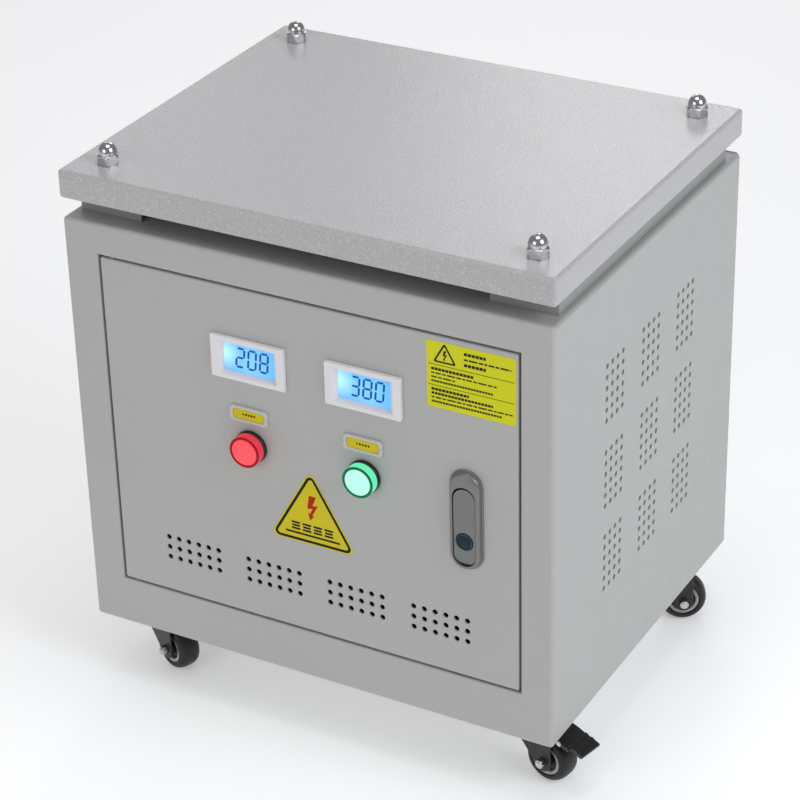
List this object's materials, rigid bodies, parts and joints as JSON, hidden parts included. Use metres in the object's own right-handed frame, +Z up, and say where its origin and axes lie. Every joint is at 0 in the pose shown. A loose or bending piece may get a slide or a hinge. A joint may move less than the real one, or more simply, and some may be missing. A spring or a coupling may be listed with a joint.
{
  "type": "three-phase transformer cabinet",
  "caption": "Grey sheet-steel transformer cabinet on swivel casters: hinged flush door with digital meters, pilot lamps and flip latch, perforated sides, raised lid.",
  "frame": {"origin": "on the floor, under the middle of the whole part's bounding box", "axes": "+Z up, the door faces -Y, +X to the right of someone facing the door"},
  "size_m": [0.4904, 0.399, 0.512],
  "materials": {
    "light_grey_paint": "semi-gloss powder coat with fine orange peel",
    "polished_chrome": "polished",
    "zinc_steel": "zinc plated",
    "core_laminations": "varnished laminations",
    "coil_winding": "enamelled wire in varnish",
    "black_plastic": "satin",
    "caster_black_steel": "black gloss paint",
    "tyre_rubber": "matte",
    "caster_rim_grey": "satin",
    "meter_white_plastic": "satin",
    "meter_backlit_lcd": "backlit display",
    "label_clear_plastic": "clear cover over a yellow insert",
    "lamp_red_lens": "translucent, lit",
    "lamp_green_lens": "translucent, lit",
    "latch_grey_metal": "satin",
    "latch_button_blue": "gloss"
  },
  "bodies": {
    "cabinet": {"front_frame": "light_grey_paint", "side_panel_left": "light_grey_paint", "side_panel_right": "light_grey_paint", "rear_panel": "light_grey_paint", "base_tray": "light_grey_paint", "top_frame": "light_grey_paint", "top_collar": "light_grey_paint", "top_cover": "light_grey_paint", "cap_nut_fl": "polished_chrome", "cap_nut_fr": "polished_chrome", "cap_nut_rl": "polished_chrome", "cap_nut_rr": "polished_chrome", "hinge_pin_top": "zinc_steel", "hinge_pin_bottom": "zinc_steel", "transformer_core": "core_laminations", "coil_a": "coil_winding", "coil_b": "coil_winding", "coil_c": "coil_winding", "core_clamp_front": "light_grey_paint", "core_clamp_rear": "light_grey_paint", "terminal_block": "black_plastic", "cable_gland_left": "black_plastic", "cable_gland_right": "black_plastic", "caster_fr_plate": "caster_black_steel", "caster_fl_plate": "caster_black_steel", "caster_rr_plate": "caster_black_steel", "caster_rl_plate": "caster_black_steel"},
    "door": {"door_panel": "light_grey_paint", "meter_bezel_left": "meter_white_plastic", "meter_bezel_right": "meter_white_plastic", "meter_lcd_left": "meter_backlit_lcd", "meter_lcd_right": "meter_backlit_lcd", "label_holder_left": "label_clear_plastic", "label_holder_right": "label_clear_plastic", "lamp_body_red": "black_plastic", "lamp_body_green": "black_plastic", "lamp_lens_red": "lamp_red_lens", "lamp_lens_green": "lamp_green_lens", "latch_housing": "polished_chrome"},
    "latch_handle": {"latch_handle": "latch_grey_metal"},
    "latch_button": {"latch_button": "latch_button_blue"},
    "latch_bolt": {"latch_bolt": "zinc_steel"},
    "caster_fr_swivel": {"caster_fr_fork": "caster_black_steel", "caster_fr_axle": "zinc_steel"},
    "caster_fr_wheel": {"caster_fr_hub": "caster_rim_grey", "caster_fr_tyre": "tyre_rubber"},
    "caster_fr_brake": {"caster_fr_brake_pedal": "caster_black_steel"},
    "caster_fl_swivel": {"caster_fl_fork": "caster_black_steel", "caster_fl_axle": "zinc_steel"},
    "caster_fl_wheel": {"caster_fl_hub": "caster_rim_grey", "caster_fl_tyre": "tyre_rubber"},
    "caster_rr_swivel": {"caster_rr_fork": "caster_black_steel", "caster_rr_axle": "zinc_steel"},
    "caster_rr_wheel": {"caster_rr_hub": "caster_rim_grey", "caster_rr_tyre": "tyre_rubber"},
    "caster_rl_swivel": {"caster_rl_fork": "caster_black_steel", "caster_rl_axle": "zinc_steel"},
    "caster_rl_wheel": {"caster_rl_hub": "caster_rim_grey", "caster_rl_tyre": "tyre_rubber"},
    "caster_rl_brake": {"caster_rl_brake_pedal": "caster_black_steel"}
  },
  "joints": [
    {"name": "door_hinge", "type": "hinge", "parent": "cabinet", "child": "door", "pos_m": [-0.1805, -0.1815, 0.113], "axis": [0, 0, -1], "range_deg": [0, 120]},
    {"name": "latch_handle_flip", "type": "hinge", "parent": "door", "child": "latch_handle", "pos_m": [0.1487, -0.1887, 0.2307], "axis": [1, 0, 0], "range_deg": [0, 50]},
    {"name": "latch_button_press", "type": "slide", "parent": "latch_handle", "child": "latch_button", "axis": [0, 1, 0], "range_m": [0, 0.0025], "stiffness_N_per_m": 250},
    {"name": "latch_bolt_slide", "type": "slide", "parent": "door", "child": "latch_bolt", "axis": [-1, 0, 0], "range_m": [0, 0.0085]},
    {"name": "caster_fr_swivel_turn", "type": "hinge", "parent": "cabinet", "child": "caster_fr_swivel", "pos_m": [0.186, -0.1377, 0.05], "axis": [0, 0, 1], "continuous": true},
    {"name": "caster_fr_wheel_spin", "type": "hinge", "parent": "caster_fr_swivel", "child": "caster_fr_wheel", "pos_m": [0.20358, -0.14156, 0.0215], "axis": [0.2147, 0.9767, 0], "continuous": true},
    {"name": "caster_fr_brake_press", "type": "hinge", "parent": "caster_fr_swivel", "child": "caster_fr_brake", "pos_m": [0.20553, -0.142, 0.0487], "axis": [0.2147, 0.9767, 0], "range_deg": [0, 10]},
    {"name": "caster_fl_swivel_turn", "type": "hinge", "parent": "cabinet", "child": "caster_fl_swivel", "pos_m": [-0.186, -0.1377, 0.05], "axis": [0, 0, 1], "continuous": true},
    {"name": "caster_fl_wheel_spin", "type": "hinge", "parent": "caster_fl_swivel", "child": "caster_fl_wheel", "pos_m": [-0.16943, -0.14473, 0.0215], "axis": [0.3907, 0.9205, 0], "continuous": true},
    {"name": "caster_rr_swivel_turn", "type": "hinge", "parent": "cabinet", "child": "caster_rr_swivel", "pos_m": [0.186, 0.1253, 0.05], "axis": [0, 0, 1], "continuous": true},
    {"name": "caster_rr_wheel_spin", "type": "hinge", "parent": "caster_rr_swivel", "child": "caster_rr_wheel", "pos_m": [0.20159, 0.1343, 0.0215], "axis": [-0.5, 0.866, 0], "continuous": true},
    {"name": "caster_rl_swivel_turn", "type": "hinge", "parent": "cabinet", "child": "caster_rl_swivel", "pos_m": [-0.186, 0.1253, 0.05], "axis": [0, 0, 1], "continuous": true},
    {"name": "caster_rl_wheel_spin", "type": "hinge", "parent": "caster_rl_swivel", "child": "caster_rl_wheel", "pos_m": [-0.20358, 0.12917, 0.0215], "axis": [-0.2147, -0.9767, 0], "continuous": true},
    {"name": "caster_rl_brake_press", "type": "hinge", "parent": "caster_rl_swivel", "child": "caster_rl_brake", "pos_m": [-0.20553, 0.12959, 0.0487], "axis": [-0.2147, -0.9767, 0], "range_deg": [0, 10]}
  ],
  "couplings": [
    {"joint": "latch_bolt_slide", "follows": "latch_handle_flip", "m_per_rad": 0.009}
  ]
}
